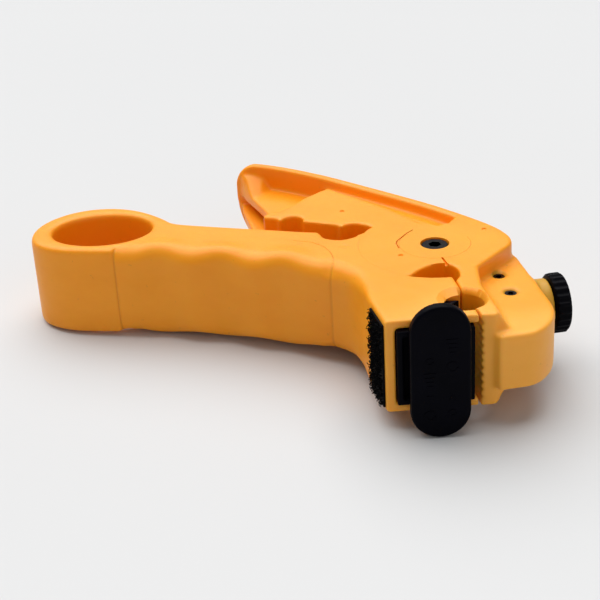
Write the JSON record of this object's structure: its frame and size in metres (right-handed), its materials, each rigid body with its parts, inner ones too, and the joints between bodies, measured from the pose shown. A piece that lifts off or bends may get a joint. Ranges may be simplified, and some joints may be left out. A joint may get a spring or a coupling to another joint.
{
  "type": "cable stripping tool",
  "caption": "One-hand cable stripping tool with a finger ring, a sprung squeeze lever, a slide-out V-block cassette and a blade depth knob.",
  "frame": {"origin": "on the axis of the clamped cable, at mid thickness of the tool", "axes": "+X along the grip from the finger ring towards the jaws, +Y from the grip towards the lever, +Z along the clamped cable"},
  "size_m": [0.1478, 0.0986, 0.0354],
  "materials": {
    "yellow_moulding": "semi-gloss",
    "yellow_grip": "semi-gloss",
    "yellow_lever_moulding": "semi-gloss",
    "black_moulding": "satin",
    "black_knob": "satin",
    "black_hook_tape": "matt",
    "black_oxide_steel": "satin",
    "turned_steel": "satin",
    "spring_steel": "satin",
    "blade_steel": "ground"
  },
  "bodies": {
    "handle": {"handle": "yellow_moulding", "finger_grip": "yellow_grip", "hook_patch": "black_hook_tape", "detent_spring": "spring_steel", "pivot_bush": "turned_steel", "thrust_washers": "turned_steel"},
    "lever": {"squeeze_lever": "yellow_lever_moulding", "spring_cover": "yellow_lever_moulding", "torsion_spring": "spring_steel", "pivot_screw": "black_oxide_steel", "pivot_nut": "turned_steel", "cutter_blade": "blade_steel", "notch_blade": "blade_steel", "coax_blade_upper": "blade_steel", "coax_blade_lower": "blade_steel", "grub_screws": "black_oxide_steel", "jaw_cover": "yellow_lever_moulding", "cover_screws": "turned_steel"},
    "cassette": {"v_block_cassette": "black_moulding"},
    "knob": {"adjuster_knob": "black_knob", "adjuster_stem": "turned_steel", "retaining_clip": "spring_steel"},
    "carrier": {"blade_carrier": "black_moulding", "depth_blade": "blade_steel"}
  },
  "joints": [
    {"name": "lever_pivot", "type": "hinge", "parent": "handle", "child": "lever", "pos_m": [-0.0126, 0.0304, 0], "axis": [0, 0, 1], "range_deg": [0, 7.5], "stiffness_Nm_per_rad": 1, "springref_deg": -22.92, "deforming": ["torsion_spring"]},
    {"name": "cassette_slide", "type": "slide", "parent": "handle", "child": "cassette", "axis": [0.3289, -0.9444, 0], "range_m": [0, 0.013]},
    {"name": "knob_spin", "type": "hinge", "parent": "lever", "child": "knob", "pos_m": [0.01723, 0.02458, 0], "axis": [-0.9063, -0.4226, 0], "range_deg": [0, 1080]},
    {"name": "carrier_slide", "type": "slide", "parent": "lever", "child": "carrier", "axis": [-0.9063, -0.4226, 0], "range_m": [0, 0.0021]}
  ],
  "couplings": [
    {"joint": "carrier_slide", "follows": "knob_spin", "m_per_rad": 0.00011141}
  ]
}
